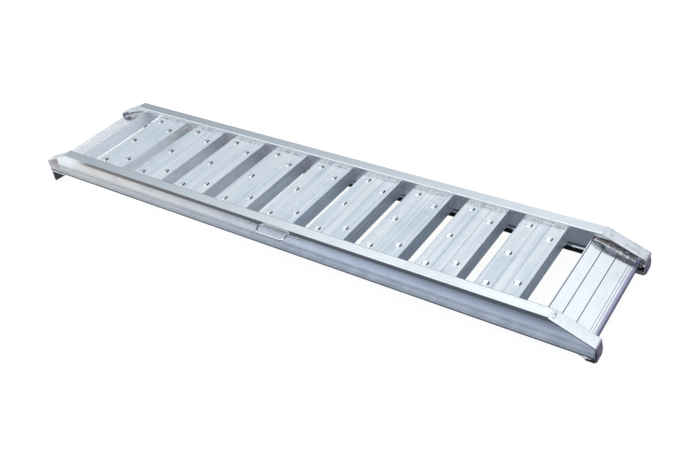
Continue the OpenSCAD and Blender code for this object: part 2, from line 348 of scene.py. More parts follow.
@dataclass(frozen=True)
class TreadAluminium(DrawnAluminium):
    """The rungs' extruded aluminium: duller than the rails', with broad soft bands and thin
    darker lines along each rung. Beside the rails the weld smoke leaves it pinkish and speckled."""

    name: str = "tread_aluminium"
    grain: Grain = Grain.ACROSS
    colour: str = "#F9FCFE"
    dulled: str = "#D5DDE6"
    roughness: float = 0.42
    line_mm: float = 3.0
    line_share: float = 0.35
    band_mm: float = 26.0  # about as wide as the ribs behind the plate, which cool slower
    bands_seen: tuple[float, float] = (0.4, 0.6)
    band_share: float = 0.45
    smoke_y_mm: tuple[float, float] = (160.0, 182.0)
    smoke_mm: float = 14.0
    smoke: str = "#F5EEF1"
    smoke_seen: tuple[float, float] = (0.36, 0.6)
    smoke_rougher: float = 0.2
    speck: str = "#6E6568"
    specks_seen: tuple[float, float] = (0.63, 0.67)
    seams_mm: tuple[float, ...] = (17.0, 69.0, 105.0)  # from a rung's tray edge
    seam_half_mm: tuple[float, float] = (0.4, 1.0)  # wider than the real hairlines, to show
    seam_pitch_mm: float = 200.0
    first_edge_x_mm: float = -890.5
    seam: str = "#767D88"
    seam_share: float = 0.6

    def wear(
        self,
        tree: bpy.types.NodeTree,
        coords: bpy.types.NodeSocket,
        lines: bpy.types.NodeSocket,
    ) -> bpy.types.NodeSocket:
        """Adds broad bands to the streaks and smudges.

        Args:
            tree: the material's node tree.
            coords: the place on the ramp.
            lines: the die lines' pattern.

        Returns:
            The dulling, 0 for none.
        """
        bands = self.drawn_marks(tree, coords, self.band_mm, 1.0, 0.5)
        return add_node(
            tree, "ShaderNodeMath", {"operation": "ADD"},
            {0: super().wear(tree, coords, lines),
             1: Fade(*self.bands_seen, 0.0, self.band_share).lay(tree, bands)},
        ).outputs[0]

    def seams(
        self, tree: bpy.types.NodeTree, along: bpy.types.NodeSocket
    ) -> bpy.types.NodeSocket:
        """Gives the thin darker lines, which lie at the same places on every rung.

        Args:
            tree: the material's node tree.
            along: X on the ramp, in metres.

        Returns:
            How dark the lines are.
        """
        inward = along
        for operation, number in (
            ("SUBTRACT", self.first_edge_x_mm * MM), ("MODULO", self.seam_pitch_mm * MM)
        ):
            inward = add_node(
                tree, "ShaderNodeMath", {"operation": operation, 1: number}, {0: inward}
            ).outputs[0]
        marks = []
        for place in self.seams_mm:
            ahead = add_node(
                tree, "ShaderNodeMath", {"operation": "SUBTRACT", 1: place * MM}, {0: inward}
            )
            away = add_node(
                tree, "ShaderNodeMath", {"operation": "ABSOLUTE"}, {0: ahead.outputs[0]}
            )
            inner, outer = self.seam_half_mm
            fade = Fade(inner * MM, outer * MM, self.seam_share, 0.0)
            marks.append(fade.lay(tree, away.outputs[0]))
        shown = marks[0]
        for mark in marks[1:]:
            shown = add_node(
                tree, "ShaderNodeMath", {"operation": "MAXIMUM"}, {0: shown, 1: mark}
            ).outputs[0]
        return shown

    def stained(
        self,
        tree: bpy.types.NodeTree,
        coords: bpy.types.NodeSocket,
        colour: bpy.types.NodeSocket,
        rough: bpy.types.NodeSocket,
    ) -> tuple[bpy.types.NodeSocket, bpy.types.NodeSocket]:
        """Stains the metal with weld smoke, specks and seams.

        Args:
            tree: the material's node tree.
            coords: the place on the ramp.
            colour: the clean metal's colour.
            rough: the clean metal's roughness.

        Returns:
            The stained metal's colour and roughness.
        """
        split = add_node(tree, "ShaderNodeSeparateXYZ", {}, {0: coords})
        offset = add_node(
            tree, "ShaderNodeMath", {"operation": "SUBTRACT", 1: DECK.y},
            {0: split.outputs["Y"]},
        )
        off_centre = add_node(
            tree, "ShaderNodeMath", {"operation": "ABSOLUTE"}, {0: offset.outputs[0]}
        )
        clear, smoky = self.smoke_y_mm
        near_weld = Fade(clear * MM, smoky * MM).lay(tree, off_centre.outputs[0])
        drift = add_node(
            tree, "ShaderNodeTexNoise",
            {"Scale": 1000 / self.smoke_mm, "Detail": 4.0, "Roughness": 0.7}, {"Vector": coords},
        ).outputs[0]
        smoked, speckled = (
            add_node(
                tree, "ShaderNodeMath", {"operation": "MULTIPLY"},
                {0: near_weld, 1: Fade(*seen).lay(tree, drift)},
            ).outputs[0]
            for seen in (self.smoke_seen, self.specks_seen)
        )
        colour = Fade(after=self.smoke).lay(tree, smoked, before=colour)
        colour = Fade(after=self.speck).lay(tree, speckled, before=colour)
        seamed = self.seams(tree, split.outputs["X"])
        colour = Fade(after=self.seam).lay(tree, seamed, before=colour)
        rough = add_node(
            tree, "ShaderNodeMath", {"operation": "MULTIPLY_ADD", 1: self.smoke_rougher},
            {0: smoked, 2: rough},
        ).outputs[0]
        return colour, rough


@dataclass(frozen=True)
class OxidisedAluminium(Finish):
    """Aluminium under a film of chalky oxide: it scatters the light, and only a dull sheen of the
    metal is left. Its tone turns paler and warmer toward the tray end, which is painted light."""

    name: str = "oxidised_aluminium"
    film: str = "#E1E8F4"
    thin: str = "#C7D0DF"
    thins: tuple[float, float] = (0.4, 0.7)
    patch_mm: float = 40.0
    # Painted light: the paler, warmer tone toward the tray end.
    pale_tone: str = "#FAF9F7"
    tray_light_x: Fade = Fade(-0.95, 0.1, 0.95, 0.0)
    roughness: float = 0.5
    smoother: float = 0.08
    metal_share: float = 0.25

    def surface(
        self, tree: bpy.types.NodeTree, coords: bpy.types.NodeSocket
    ) -> bpy.types.NodeSocket:
        """Describes the surface in nodes.

        Args:
            tree: the material's node tree.
            coords: the place on the ramp, in metres.

        Returns:
            The shader's output socket.
        """
        patches = add_node(
            tree, "ShaderNodeTexNoise",
            {"Scale": 1000 / self.patch_mm, "Detail": 5.0, "Roughness": 0.6}, {"Vector": coords},
        ).outputs[0]
        split = add_node(tree, "ShaderNodeSeparateXYZ", {}, {0: coords})
        bare = Fade(*self.thins, self.film, self.thin).lay(tree, patches)
        tray_lit = self.tray_light_x.lay(tree, split.outputs["X"])
        rough = Fade(*self.thins, self.roughness, self.roughness - self.smoother)
        return add_node(
            tree, "ShaderNodeBsdfPrincipled", {"Metallic": self.metal_share},
            {"Base Color": Fade(after=self.pale_tone).lay(tree, tray_lit, before=bare),
             "Roughness": rough.lay(tree, patches)},
        ).outputs[0]


@dataclass(frozen=True)
class BurnishedAluminium(Finish):
    """Aluminium polished where it is pressed or trodden: brighter and crisper than the
    mill finish, with faint scuffs."""

    name: str = "burnished_aluminium"
    colour: str = "#FBFCFD"
    scuffed: str = "#E6E8EC"
    roughness: float = 0.13
    rougher: float = 0.12
    scuff_mm: float = 5.0
    scuffs_seen: tuple[float, float] = (0.5, 0.75)

    def surface(
        self, tree: bpy.types.NodeTree, coords: bpy.types.NodeSocket
    ) -> bpy.types.NodeSocket:
        """Describes the surface in nodes.

        Args:
            tree: the material's node tree.
            coords: the place on the ramp, in metres.

        Returns:
            The shader's output socket.
        """
        scuffs = add_node(
            tree, "ShaderNodeTexNoise",
            {"Scale": 1000 / self.scuff_mm, "Detail": 4.0, "Roughness": 0.7}, {"Vector": coords},
        ).outputs[0]
        rough = Fade(*self.scuffs_seen, self.roughness, self.roughness + self.rougher)
        return add_node(
            tree, "ShaderNodeBsdfPrincipled", {"Metallic": 1.0},
            {"Base Color": Fade(*self.scuffs_seen, self.colour, self.scuffed).lay(tree, scuffs),
             "Roughness": rough.lay(tree, scuffs)},
        ).outputs[0]


@dataclass(frozen=True)
class WeldMetal(Finish):
    """Aluminium weld bead: bright rippled metal with brown-black soot in its hollows."""

    name: str = "weld_metal"
    colour: str = "#F4F5F7"
    soot: str = "#3E3634"
    roughness: float = 0.24
    soot_roughness: float = 0.6
    pit_mm: float = 7.0
    pit_depth_mm: float = 0.4
    pits_sooty: tuple[float, float] = (0.54, 0.64)
    soot_share: float = 0.85
    metal_share: float = 1.0

    def surface(
        self, tree: bpy.types.NodeTree, coords: bpy.types.NodeSocket
    ) -> bpy.types.NodeSocket:
        """Describes the surface in nodes.

        Args:
            tree: the material's node tree.
            coords: the place on the ramp, in metres.

        Returns:
            The shader's output socket.
        """
        pits = add_node(
            tree, "ShaderNodeTexNoise",
            {"Scale": 1000 / self.pit_mm, "Detail": 5.0, "Roughness": 0.7}, {"Vector": coords},
        ).outputs[0]
        sooty = Fade(*self.pits_sooty, 0.0, self.soot_share).lay(tree, pits)
        bump = add_node(
            tree, "ShaderNodeBump", {"Strength": 0.5, "Distance": self.pit_depth_mm * MM},
            {"Height": pits},
        )
        rough = Fade(before=self.roughness, after=self.soot_roughness)
        return add_node(
            tree, "ShaderNodeBsdfPrincipled", {"Metallic": self.metal_share},
            {"Base Color": Fade(before=self.colour, after=self.soot).lay(tree, sooty),
             "Roughness": rough.lay(tree, sooty), "Normal": bump.outputs["Normal"]},
        ).outputs[0]


@dataclass(frozen=True)
class DiscGroundAluminium(Finish):
    """Aluminium dressed by a disc: swirled scratches that scatter light, a pinkish cast
    from weld smoke, and darker blotches."""

    name: str = "ground_aluminium"
    colour: str = "#F8F3F4"
    blotch: str = "#C6BBBD"
    roughness: float = 0.34
    smoother: float = 0.04
    rougher: float = 0.16
    scratch_mm: float = 1.6  # coarser than real disc scratches, so that they show
    scratch_length_mm: float = 1000 / 60.0
    scratch_depth_mm: float = 0.06
    swirl: tuple[float, float, float] = (0.5, 0.3, 0.9)
    scratches: Fade = Fade(0.4, 0.7, 0.0, 0.3)
    blotch_mm: float = 16.0
    blotches: Fade = Fade(0.5, 0.72, 0.0, 0.75)

    def surface(
        self, tree: bpy.types.NodeTree, coords: bpy.types.NodeSocket
    ) -> bpy.types.NodeSocket:
        """Describes the surface in nodes.

        Args:
            tree: the material's node tree.
            coords: the place on the ramp, in metres.

        Returns:
            The shader's output socket.
        """
        fine = 1000 / self.scratch_mm
        turned = add_node(
            tree, "ShaderNodeMapping",
            {"Rotation": self.swirl, "Scale": (fine, 1000 / self.scratch_length_mm, fine)},
            {"Vector": coords},
        )
        scratches = add_node(
            tree, "ShaderNodeTexNoise", {"Scale": 1.0, "Detail": 3.0, "Distortion": 0.8},
            {"Vector": turned.outputs["Vector"]},
        ).outputs[0]
        blotches = add_node(
            tree, "ShaderNodeTexNoise",
            {"Scale": 1000 / self.blotch_mm, "Detail": 4.0, "Roughness": 0.65},
            {"Vector": coords},
        ).outputs[0]
        marked = add_node(
            tree, "ShaderNodeMath", {"operation": "ADD"},
            {0: self.blotches.lay(tree, blotches), 1: self.scratches.lay(tree, scratches)},
        ).outputs[0]
        bump = add_node(
            tree, "ShaderNodeBump", {"Strength": 0.35, "Distance": self.scratch_depth_mm * MM},
            {"Height": scratches},
        )
        smooth, dull = self.roughness - self.smoother, self.roughness + self.rougher
        return add_node(
            tree, "ShaderNodeBsdfPrincipled", {"Metallic": 1.0},
            {"Base Color": Fade(before=self.colour, after=self.blotch).lay(tree, marked),
             "Roughness": Fade(before=smooth, after=dull).lay(tree, marked),
             "Normal": bump.outputs["Normal"]},
        ).outputs[0]


@dataclass(frozen=True)
class PaintedShade(Finish):
    """Painted shade: a dark, blotchy, half-matt coat laid where shadow falls, as on a rail's
    inner ledge, with lighter patches where it is thin."""

    name: str = "ledge_grime"
    colour: str = "#11181E"
    thin: str = "#39424B"
    thins: tuple[float, float] = (0.5, 0.75)
    roughness: float = 0.62
    rougher: float = 0.2
    blotch_mm: float = 12.0
    blotch_depth_mm: float = 0.2

    def surface(
        self, tree: bpy.types.NodeTree, coords: bpy.types.NodeSocket
    ) -> bpy.types.NodeSocket:
        """Describes the surface in nodes.

        Args:
            tree: the material's node tree.
            coords: the place on the ramp, in metres.

        Returns:
            The shader's output socket.
        """
        blotches = add_node(
            tree, "ShaderNodeTexNoise",
            {"Scale": 1000 / self.blotch_mm, "Detail": 5.0, "Roughness": 0.65},
            {"Vector": coords},
        ).outputs[0]
        bump = add_node(
            tree, "ShaderNodeBump", {"Strength": 0.5, "Distance": self.blotch_depth_mm * MM},
            {"Height": blotches},
        )
        rough = Fade(*self.thins, self.roughness, self.roughness + self.rougher)
        return add_node(
            tree, "ShaderNodeBsdfPrincipled", {"Specular IOR Level": 0.25},
            {"Base Color": Fade(*self.thins, self.colour, self.thin).lay(tree, blotches),
             "Roughness": rough.lay(tree, blotches), "Normal": bump.outputs["Normal"]},
        ).outputs[0]


@dataclass(frozen=True)
class BlackRubber(Finish):
    """Moulded black rubber: matt, faintly grained and greyed by dust."""

    name: str = "black_rubber"
    colour: str = "#2A2B2D"
    dusty: str = "#47484A"
    dust_seen: tuple[float, float] = (0.45, 0.75)
    dust_mm: float = 1000 / 60.0
    roughness: float = 0.78
    grain_mm: float = 1.2
    grain_depth_mm: float = 0.1

    def surface(
        self, tree: bpy.types.NodeTree, coords: bpy.types.NodeSocket
    ) -> bpy.types.NodeSocket:
        """Describes the surface in nodes.

        Args:
            tree: the material's node tree.
            coords: the place on the ramp, in metres.

        Returns:
            The shader's output socket.
        """
        pale_tone = add_node(
            tree, "ShaderNodeTexNoise",
            {"Scale": 1000 / self.dust_mm, "Detail": 5.0, "Roughness": 0.65},
            {"Vector": coords},
        ).outputs[0]
        grain = add_node(
            tree, "ShaderNodeTexNoise", {"Scale": 1000 / self.grain_mm, "Detail": 2.0},
            {"Vector": coords},
        ).outputs[0]
        bump = add_node(
            tree, "ShaderNodeBump", {"Strength": 0.4, "Distance": self.grain_depth_mm * MM},
            {"Height": grain},
        )
        return add_node(
            tree, "ShaderNodeBsdfPrincipled", {"Roughness": self.roughness},
            {"Base Color": Fade(*self.dust_seen, self.colour, self.dusty).lay(tree, pale_tone),
             "Normal": bump.outputs["Normal"]},
        ).outputs[0]


@dataclass(frozen=True)
class PlatedSteel(Finish):
    """Bright plated steel rod and strap: near-mirror, with faint drawing marks."""

    name: str = "plated_steel"
    colour: str = "#F4F4F5"
    roughness: float = 0.15
    smoother: float = 0.06
    rougher: float = 0.12
    mark_mm: float = 1000 / 90.0

    def surface(
        self, tree: bpy.types.NodeTree, coords: bpy.types.NodeSocket
    ) -> bpy.types.NodeSocket:
        """Describes the surface in nodes.

        Args:
            tree: the material's node tree.
            coords: the place on the ramp, in metres.

        Returns:
            The shader's output socket.
        """
        marks = add_node(
            tree, "ShaderNodeTexNoise",
            {"Scale": 1000 / self.mark_mm, "Detail": 4.0, "Roughness": 0.7}, {"Vector": coords},
        ).outputs[0]
        smooth, dull = self.roughness - self.smoother, self.roughness + self.rougher
        return add_node(
            tree, "ShaderNodeBsdfPrincipled",
            {"Metallic": 1.0, "Base Color": srgb(self.colour)},
            {"Roughness": Fade(before=smooth, after=dull).lay(tree, marks)},
        ).outputs[0]


@dataclass(frozen=True)
class PaleFloor(Finish):
    """Matt white paper on a studio floor: the camera sees it white, with the ramp's soft shadow.
    To the metal it glows with painted light and shade: brightest in a slightly slanted strip
    beside the near rail, dim further out, at a painted level under the ramp, and brighter at the
    tray end than at the ground end. The fades run along the X or Y of the room, in metres."""

    name: str = "pale_floor"
    paper: str = "#F2F3F5"
    white: str = "#FFFFFF"
    white_strength: float = 1.09
    white_share: float = 0.86
    strip_slant: float = 0.03
    strip_peak_x: Fade = Fade(-1.0, 1.0, 1.1, 0.72)
    strip_outer_y: Fade = Fade(-0.31, -0.267, before=0.13)
    strip_inner_y: Fade = Fade(-0.262, -0.215, after=0.4)
    under_x: Fade = Fade(-0.95, 0.4, 0.78, 0.24)
    under_tray_x: Fade = Fade(-0.74, -0.7, before=1.6)
    under_y: Fade = Fade(-0.232, -0.212)
    behind_y: Fade = Fade(0.22, 0.27, after=0.42)
    past_tray_x: Fade = Fade(-1.16, -1.10, before=1.1)
    past_ground_x: Fade = Fade(1.09, 1.11, after=0.4)
    tint_x: Fade = Fade(-0.8, 0.3, "#F4F3F3", "#D6E6FF")
    tray_tint_x: Fade = Fade(-1.12, -1.08, before="#F4F7FC")
    ground_tint_x: Fade = Fade(1.09, 1.11, after="#DAD6F0")

    def mirrored_strength(
        self, tree: bpy.types.NodeTree, x: bpy.types.NodeSocket, y: bpy.types.NodeSocket
    ) -> bpy.types.NodeSocket:
        """Gives the painted brightness that the floor glows with in the metal.

        Args:
            tree: the floor's node tree.
            x: the room's X.
            y: the room's Y.

        Returns:
            The strength's output socket.
        """
        slanted = add_node(
            tree, "ShaderNodeMath", {"operation": "MULTIPLY_ADD", 1: -self.strip_slant},
            {0: x, 2: y},
        ).outputs[0]
        strip = self.strip_outer_y.lay(tree, slanted, after=self.strip_peak_x.lay(tree, x))
        beside = self.strip_inner_y.lay(tree, slanted, before=strip)
        under = self.under_tray_x.lay(tree, x, after=self.under_x.lay(tree, x))
        level = self.under_y.lay(tree, y, before=beside, after=under)
        level = self.behind_y.lay(tree, y, before=level)
        level = self.past_tray_x.lay(tree, x, after=level)
        return self.past_ground_x.lay(tree, x, before=level)

    def surface(
        self, tree: bpy.types.NodeTree, coords: bpy.types.NodeSocket
    ) -> bpy.types.NodeSocket:
        """Describes the surface in nodes.

        Args:
            tree: the material's node tree.
            coords: unused, as the floor goes by its place in the room.

        Returns:
            The shader's output socket.
        """
        place = add_node(tree, "ShaderNodeNewGeometry").outputs["Position"]
        split = add_node(tree, "ShaderNodeSeparateXYZ", {}, {0: place})
        x, y = split.outputs["X"], split.outputs["Y"]
        path = add_node(tree, "ShaderNodeLightPath")
        lit = add_node(tree, "ShaderNodeBsdfDiffuse", {"Color": srgb(self.paper)})
        white = add_node(
            tree, "ShaderNodeEmission",
            {"Color": srgb(self.white), "Strength": self.white_strength},
        )
        seen = add_node(
            tree, "ShaderNodeMath", {"operation": "MULTIPLY", 1: self.white_share},
            {0: path.outputs["Is Camera Ray"]},
        )
        plain = add_node(
            tree, "ShaderNodeMixShader", {},
            {0: seen.outputs[0], 1: lit.outputs[0], 2: white.outputs[0]},
        )
        tint = self.tray_tint_x.lay(tree, x, after=self.tint_x.lay(tree, x))
        # Glossy rays see the floor as an emission: painted light and shade by place.
        mirrored = add_node(
            tree, "ShaderNodeEmission", {},
            {"Color": self.ground_tint_x.lay(tree, x, before=tint),
             "Strength": self.mirrored_strength(tree, x, y)},
        )
        return add_node(
            tree, "ShaderNodeMixShader", {},
            {0: path.outputs["Is Glossy Ray"], 1: plain.outputs[0], 2: mirrored.outputs[0]},
        ).outputs[0]


@dataclass(frozen=True)
class Finishes:
    """The ramp's finishes, each built once and shared by its pieces."""

    rail: bpy.types.Material
    tread: bpy.types.Material
    dressed: bpy.types.Material
    planks: dict[End, bpy.types.Material]
    nosing_shade: bpy.types.Material
    burnished: bpy.types.Material
    disc_ground: bpy.types.Material
    brushed: bpy.types.Material
    scorch_and_shade: bpy.types.Material
    oxidised: bpy.types.Material
    wall_light: bpy.types.Material
    ledge_grime: bpy.types.Material
    groove_dirt: bpy.types.Material
    edge_dirt: bpy.types.Material
    weld: bpy.types.Material
    frosted_weld: bpy.types.Material
    sooty_weld: bpy.types.Material
    rubber: bpy.types.Material
    steel: bpy.types.Material


def mix_finishes() -> Finishes:
    """Builds every finish of the ramp.

    Returns:
        The finishes.
    """
    planks = {
        End.TRAY: DrawnAluminium(
            "tray_plank_aluminium", Grain.ACROSS, colour="#FBFCFD", dulled="#DCE0E6",
            roughness=0.18, line_mm=3.0,
        ).build(),
        End.GROUND: DrawnAluminium(
            "ground_plank_aluminium", Grain.ACROSS, colour="#E8E9EE", dulled="#D3D5DC",
            roughness=0.15, line_mm=3.0, line_share=0.2,
        ).build(),
    }
    return Finishes(
        rail=DrawnAluminium("rail_aluminium", Grain.ALONG).build(),
        tread=TreadAluminium().build(),
        dressed=DrawnAluminium(
            "dressed_aluminium", Grain.ALONG, colour="#F3F4F6", dulled="#D6D9DE", roughness=0.25
        ).build(),
        planks=planks,
        # Painted shade: a darker lavender copy of the planks' metal for their nosings.
        nosing_shade=DrawnAluminium(
            "nosing_aluminium", Grain.ACROSS, colour="#BDBACF", dulled="#A19EB4", roughness=0.26
        ).build(),
        burnished=BurnishedAluminium().build(),
        disc_ground=DiscGroundAluminium().build(),
        brushed=DiscGroundAluminium(
            "brushed_aluminium", colour="#F4F5F9", blotch="#A5A4AC", blotch_mm=24.0
        ).build(),
        # Heat tint; on the ground planks' fillets it is also painted shade of the web under the
        # strip.
        scorch_and_shade=DiscGroundAluminium(
            "scorched_aluminium", colour="#B9AFAE", blotch="#4E4541", blotch_mm=9.0
        ).build(),
        # Painted light: paler and warmer toward the tray end.
        oxidised=OxidisedAluminium().build(),
        # Painted light: a pale, mostly matt copy that lightens the tray plank's wall toward the
        # first rung.
        wall_light=OxidisedAluminium("chalky_aluminium", pale_tone="#EEF2FA").build(),
        # Painted shade, near-black, on the rails' inner ledges.
        ledge_grime=PaintedShade().build(),
        # Painted shade in the planks' grooves, on the dimples' sides toward the ground end and on
        # the ground noses' outer edges.
        groove_dirt=PaintedShade("groove_dirt", colour="#3B4047", thin="#6A7078").build(),
        # Painted shade: a darker line on the bottom flanges' outer edges, where the contact
        # shadow falls.
        edge_dirt=PaintedShade("edge_dirt", colour="#646A73", thin="#8E949C").build(),
        weld=WeldMetal().build(),
        frosted_weld=WeldMetal(
            "frosted_weld", colour="#FFFFFF", soot="#4A4544", soot_share=0.8, metal_share=0.1
        ).build(),
        sooty_weld=WeldMetal(
            "sooty_weld", colour="#A8A5B0", soot="#161416", pit_mm=12.0, soot_share=1.0
        ).build(),
        rubber=BlackRubber().build(),
        steel=PlatedSteel().build(),
    )


def select_only(thing: bpy.types.Object) -> None:
    """Deselects everything, then selects one object and makes it active.

    Args:
        thing: the object.
    """
    bpy.ops.object.select_all(action="DESELECT")
    thing.select_set(True)
    bpy.context.view_layer.objects.active = thing


def select_points(piece: bpy.types.Object, test: Callable[[Vector], bool]) -> None:
    """Goes into edit mode with just the points selected that pass a test.

    Args:
        piece: the active object.
        test: takes a point in millimetres of the deck frame.
    """
    bpy.ops.object.mode_set(mode="EDIT")
    bpy.ops.mesh.select_mode(type="VERT")
    bpy.ops.mesh.select_all(action="DESELECT")
    bpy.ops.object.mode_set(mode="OBJECT")
    for point in piece.data.vertices:
        point.select = bool(test((point.co - DECK) / MM))
    bpy.ops.object.mode_set(mode="EDIT")


def shift_points(
    piece: bpy.types.Object, test: Callable[[Vector], bool], offset: Sequence[float]
) -> None:
    """Moves the points that pass a test.

    Args:
        piece: the active object.
        test: takes a point in millimetres of the deck frame.
        offset: how far they move, in millimetres.
    """
    select_points(piece, test)
    bpy.ops.transform.translate(value=tuple(Vector(offset) * MM))
    bpy.ops.object.mode_set(mode="OBJECT")


def face_finish(
    piece: bpy.types.Object,
    material: bpy.types.Material,
    test: Callable[[Vector, Vector], bool],
) -> None:
    """Gives a second finish to the faces that pass a test.

    Args:
        piece: the piece.
        material: the finish.
        test: takes a face's centre in millimetres of the deck frame, and its normal.
    """
    piece.data.materials.append(material)
    index = len(piece.data.materials) - 1
    for face in piece.data.polygons:
        if test((face.center - DECK) / MM, face.normal):
            face.material_index = index


def bare_copy(node: str, name: str) -> tuple[bpy.types.Object, str]:
    """Copies a solid and joins its loose facets into plain faces.

    Args:
        node: the solid's name.
        name: the copy's name.

    Returns:
        The copy, which is active, and the name of the body that the solid rides on.
    """
    select_only(frame["nodes"][node])
    bpy.ops.object.duplicate()
    piece = bpy.context.view_layer.objects.active
    piece.name = name
    body = piece["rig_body"]
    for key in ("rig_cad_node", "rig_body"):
        del piece[key]
    bpy.ops.object.mode_set(mode="EDIT")
    bpy.ops.mesh.select_all(action="SELECT")
    bpy.ops.mesh.remove_doubles(threshold=0.002 * MM)
    bpy.ops.mesh.dissolve_limited(angle_limit=math.radians(0.4))
    bpy.ops.object.mode_set(mode="OBJECT")
    return piece, body


def softened_copy(
    node: str,
    name: str,
    material: bpy.types.Material,
    edge_mm: float,
    shape: Callable[[bpy.types.Object], None] | None = None,
) -> bpy.types.Object:
    """Stands a copy of a solid in its place, with its facets joined and its edges eased.

    Args:
        node: the solid's name.
        name: the new piece's name.
        material: what the piece is made of.
        edge_mm: width of the eased edges.
        shape: what is done to the copy before its edges are eased.

    Returns:
        The piece, which replaces the solid and rides on the solid's body.
    """
    piece, body = bare_copy(node, name)
    if shape:
        shape(piece)
    bevel = piece.modifiers.new("eased_edges", "BEVEL")
    bevel.width = edge_mm * MM
    bevel.segments = 2
    bevel.limit_method = "ANGLE"
    bevel.angle_limit = math.radians(28)
    bevel.use_clamp_overlap = True
    bevel.harden_normals = False
    bpy.ops.object.modifier_apply(modifier=bevel.name)
    bpy.ops.object.shade_smooth_by_angle(angle=math.radians(32))
    level = piece.modifiers.new("level_faces", "WEIGHTED_NORMAL")
    level.keep_sharp = True
    level.weight = 100
    bpy.ops.object.modifier_apply(modifier=level.name)
    piece.data.materials.clear()
    piece.data.materials.append(material)
    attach(piece, body)
    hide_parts(node)
    return piece


@dataclass
class Sky:
    """The studio round the ramp. The camera sees plain white. The metal mirrors a soft
    sky: dim at the horizon, toward the front and far behind, brighter low on the left,
    brightest from 35 degrees up and on the right. The fades run along a direction's X, Y
    or Z."""

    white: str = "#FFFFFF"
    soft: str = "#F1F5FB"
    soft_strength: float = 0.7
    horizon_z: Fade = Fade(0.0, 0.45, 0.2438, 0.4876)
    left_x: Fade = Fade(-0.9, -0.76, 2.0, 1.0)
    far_back_y: Fade = Fade(0.86, 0.95, 1.0, 0.12)
    overhead_z: Fade = Fade(0.49, 0.65, after=1.25)
    right_x: Fade = Fade(0.4, 0.55, 1.0, 1.9)
    front_y: Fade = Fade(-0.6, -0.3, before=0.7)
    tone_z: Fade = Fade(0.49, 0.65, "#D4E0EC", "#F5FBFF")

    def mirrored_strength(
        self,
        tree: bpy.types.NodeTree,
        x: bpy.types.NodeSocket,
        y: bpy.types.NodeSocket,
        z: bpy.types.NodeSocket,
    ) -> bpy.types.NodeSocket:
        """Gives how bright the sky stands in the metal.

        Args:
            tree: the world's node tree.
            x: the direction's X.
            y: the direction's Y.
            z: the direction's Z.

        Returns:
            The strength's output socket.
        """
        low = self.horizon_z.lay(tree, z)
        for side in (self.left_x.lay(tree, x), self.far_back_y.lay(tree, y)):
            low = add_node(
                tree, "ShaderNodeMath", {"operation": "MULTIPLY"}, {0: low, 1: side}
            ).outputs[0]
        around = add_node(
            tree, "ShaderNodeMath", {"operation": "MULTIPLY"},
            {0: self.overhead_z.lay(tree, z, before=low), 1: self.right_x.lay(tree, x)},
        ).outputs[0]
        return self.front_y.lay(tree, y, after=around)

    def build(self) -> None:
        """Gives the scene its world."""
        world = bpy.data.worlds.new("studio")
        world.use_nodes = True
        bpy.context.scene.world = world
        tree = world.node_tree
        tree.nodes.clear()
        path = add_node(tree, "ShaderNodeLightPath")
        coords = add_node(tree, "ShaderNodeTexCoord")
        split = add_node(tree, "ShaderNodeSeparateXYZ", {}, {0: coords.outputs["Generated"]})
        x, y, z = (split.outputs[axis] for axis in "XYZ")
        soft = add_node(
            tree, "ShaderNodeBackground",
            {"Color": srgb(self.soft), "Strength": self.soft_strength},
        )
        mirrored = add_node(
            tree, "ShaderNodeBackground", {},
            {"Color": self.tone_z.lay(tree, z),
             "Strength": self.mirrored_strength(tree, x, y, z)},
        )
        backdrop = add_node(
            tree, "ShaderNodeBackground", {"Color": srgb(self.white), "Strength": 1.0}
        )
        shiny = add_node(
            tree, "ShaderNodeMixShader", {},
            {0: path.outputs["Is Glossy Ray"], 1: soft.outputs[0], 2: mirrored.outputs[0]},
        )
        straight = add_node(
            tree, "ShaderNodeMath", {"operation": "MAXIMUM"},
            {0: path.outputs["Is Camera Ray"], 1: path.outputs["Is Transmission Ray"]},
        )
        mixed = add_node(
            tree, "ShaderNodeMixShader", {},
            {0: straight.outputs[0], 1: shiny.outputs[0], 2: backdrop.outputs[0]},
        )
        add_node(tree, "ShaderNodeOutputWorld", {}, {"Surface": mixed.outputs[0]})


